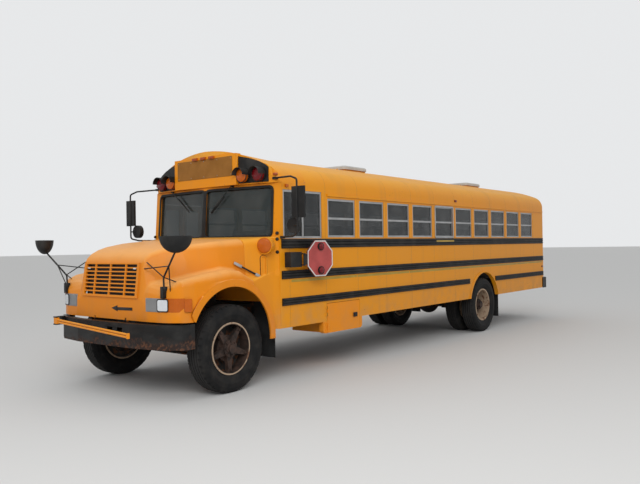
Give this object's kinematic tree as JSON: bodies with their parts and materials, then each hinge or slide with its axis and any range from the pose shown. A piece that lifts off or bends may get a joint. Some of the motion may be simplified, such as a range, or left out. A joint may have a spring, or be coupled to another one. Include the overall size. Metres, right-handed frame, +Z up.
{
  "type": "school bus",
  "caption": "Long-nose school bus with tilting hood, steering, rolling wheels, doors, roof hatches, stop arm and crossing arm.",
  "frame": {"origin": "on the road, at the middle of the bus's length and width", "axes": "+X forward along the bus, +Y to its left, +Z up"},
  "size_m": [10.8878, 3.41, 2.93],
  "materials": {
    "body_yellow": "weathered gloss",
    "door_orange": "gloss",
    "body_black": "satin",
    "chassis_black": "dusty",
    "engine_iron": "oily",
    "radiator_grey": "dusty",
    "exhaust_steel": "rusty",
    "tyre_rubber": "worn",
    "wheel_cream": "rusty",
    "flap_rubber": "matte",
    "tinted_glass": "tinted",
    "clear_glass": "clear",
    "sash_aluminium": "satin",
    "amber_lens": "moulded lens",
    "red_lens": "moulded lens",
    "sign_red": "faded gloss",
    "seat_vinyl": "vinyl",
    "inside_grey": "satin",
    "floor_black": "ribbed",
    "hatch_white": "dusty"
  },
  "bodies": {
    "body": {"chassis_frame": "chassis_black", "engine_block": "engine_iron", "radiator": "radiator_grey", "front_axle": "chassis_black", "rear_axle": "chassis_black", "fuel_tank": "chassis_black", "exhaust": "exhaust_steel", "bumpers": "body_black", "floor": "floor_black", "wheel_houses": "floor_black", "entrance_steps": "floor_black", "left_wall": "body_yellow", "right_wall": "body_yellow", "rear_wall": "body_yellow", "roof": "body_yellow", "roof_sides": "body_yellow", "front_cap": "body_yellow", "front_wall": "body_yellow", "windshield": "clear_glass", "cowl": "body_yellow", "lamp_panels": "body_black", "amber_lamps": "amber_lens", "red_lamps": "red_lens", "rub_rails": "body_black", "window_sashes": "sash_aluminium", "side_glass": "tinted_glass", "seats": "seat_vinyl", "seat_frames": "inside_grey", "dashboard": "inside_grey", "battery_box": "door_orange", "side_mirrors": "body_black", "mud_flaps": "flap_rubber", "stop_arm_box": "body_black"},
    "hood": {"hood": "body_yellow", "grille": "body_yellow", "headlamps": "clear_glass", "corner_lamps": "amber_lens", "cross_mirrors": "body_black"},
    "stop_arm": {"stop_sign": "sign_red"},
    "crossing_arm": {"crossing_arm": "body_yellow"},
    "battery_door": {"battery_door": "door_orange"},
    "entrance_front": {"entrance_front": "body_yellow", "entrance_front_glass": "tinted_glass"},
    "entrance_rear": {"entrance_rear": "body_yellow", "entrance_rear_glass": "tinted_glass"},
    "emergency_door": {"emergency_door": "body_yellow", "emergency_glass": "tinted_glass"},
    "hatch_front": {"hatch_front": "hatch_white"},
    "hatch_rear": {"hatch_rear": "hatch_white"},
    "knuckle_left": {"knuckle_left": "chassis_black"},
    "knuckle_right": {"knuckle_right": "chassis_black"},
    "tie_rod": {"tie_rod": "chassis_black"},
    "front_left": {"tyre_front_left": "tyre_rubber", "wheel_front_left": "wheel_cream"},
    "front_right": {"tyre_front_right": "tyre_rubber", "wheel_front_right": "wheel_cream"},
    "rear_left": {"tyres_rear_left": "tyre_rubber", "wheels_rear_left": "wheel_cream"},
    "rear_right": {"tyres_rear_right": "tyre_rubber", "wheels_rear_right": "wheel_cream"}
  },
  "joints": [
    {"name": "steer_left", "type": "hinge", "parent": "body", "child": "knuckle_left", "pos_m": [4.26606, 0.85, 0.5], "axis": [0, 0, 1], "range_deg": [-38, 38]},
    {"name": "steer_right", "type": "hinge", "parent": "body", "child": "knuckle_right", "pos_m": [4.26606, -0.85, 0.5], "axis": [0, 0, 1], "range_deg": [-38, 38]},
    {"name": "tie_rod_pivot", "type": "hinge", "parent": "knuckle_left", "child": "tie_rod", "pos_m": [4.02606, 0.85, 0.419], "axis": [0, 0, 1], "range_deg": [-38, 38]},
    {"name": "roll_front_left", "type": "hinge", "parent": "knuckle_left", "child": "front_left", "pos_m": [4.26606, 1.018, 0.5], "axis": [0, 1, 0], "continuous": true},
    {"name": "roll_front_right", "type": "hinge", "parent": "knuckle_right", "child": "front_right", "pos_m": [4.26606, -1.018, 0.5], "axis": [0, 1, 0], "continuous": true},
    {"name": "roll_rear_left", "type": "hinge", "parent": "body", "child": "rear_left", "pos_m": [-2.18594, 1.068, 0.5], "axis": [0, 1, 0], "continuous": true},
    {"name": "roll_rear_right", "type": "hinge", "parent": "body", "child": "rear_right", "pos_m": [-2.18594, -1.068, 0.5], "axis": [0, 1, 0], "continuous": true},
    {"name": "hood_tilt", "type": "hinge", "parent": "body", "child": "hood", "pos_m": [5.09406, 0, 0.856], "axis": [0, 1, 0], "range_deg": [0, 65]},
    {"name": "entrance_front_swing", "type": "hinge", "parent": "body", "child": "entrance_front", "pos_m": [3.41806, -1.211, 1.5], "axis": [0, 0, 1], "range_deg": [0, 85]},
    {"name": "entrance_rear_swing", "type": "hinge", "parent": "body", "child": "entrance_rear", "pos_m": [2.67106, -1.211, 1.5], "axis": [0, 0, 1], "range_deg": [-85, 0]},
    {"name": "emergency_swing", "type": "hinge", "parent": "body", "child": "emergency_door", "pos_m": [-5.35494, -0.473, 1.56], "axis": [0, 0, 1], "range_deg": [0, 105]},
    {"name": "stop_arm_swing", "type": "hinge", "parent": "body", "child": "stop_arm", "pos_m": [3.20606, 1.32, 1.494], "axis": [0, 0, -1], "range_deg": [-5.5, 84.5]},
    {"name": "crossing_arm_swing", "type": "hinge", "parent": "body", "child": "crossing_arm", "pos_m": [5.25106, -0.9, 0.8], "axis": [0, 0, -1], "range_deg": [-6, 84]},
    {"name": "battery_door_swing", "type": "hinge", "parent": "body", "child": "battery_door", "pos_m": [2.60806, 1.211, 0.692], "axis": [0, 0, -1], "range_deg": [0, 100]},
    {"name": "hatch_front_lift", "type": "hinge", "parent": "body", "child": "hatch_front", "pos_m": [0.98506, 0, 2.88], "axis": [0, 1, 0], "range_deg": [0, 60]},
    {"name": "hatch_rear_lift", "type": "hinge", "parent": "body", "child": "hatch_rear", "pos_m": [-3.30994, 0, 2.88], "axis": [0, 1, 0], "range_deg": [0, 60]}
  ],
  "couplings": [
    {"joint": "steer_right", "follows": "steer_left", "ratio": 1},
    {"joint": "tie_rod_pivot", "follows": "steer_left", "ratio": -1},
    {"joint": "entrance_rear_swing", "follows": "entrance_front_swing", "ratio": -1}
  ]
}
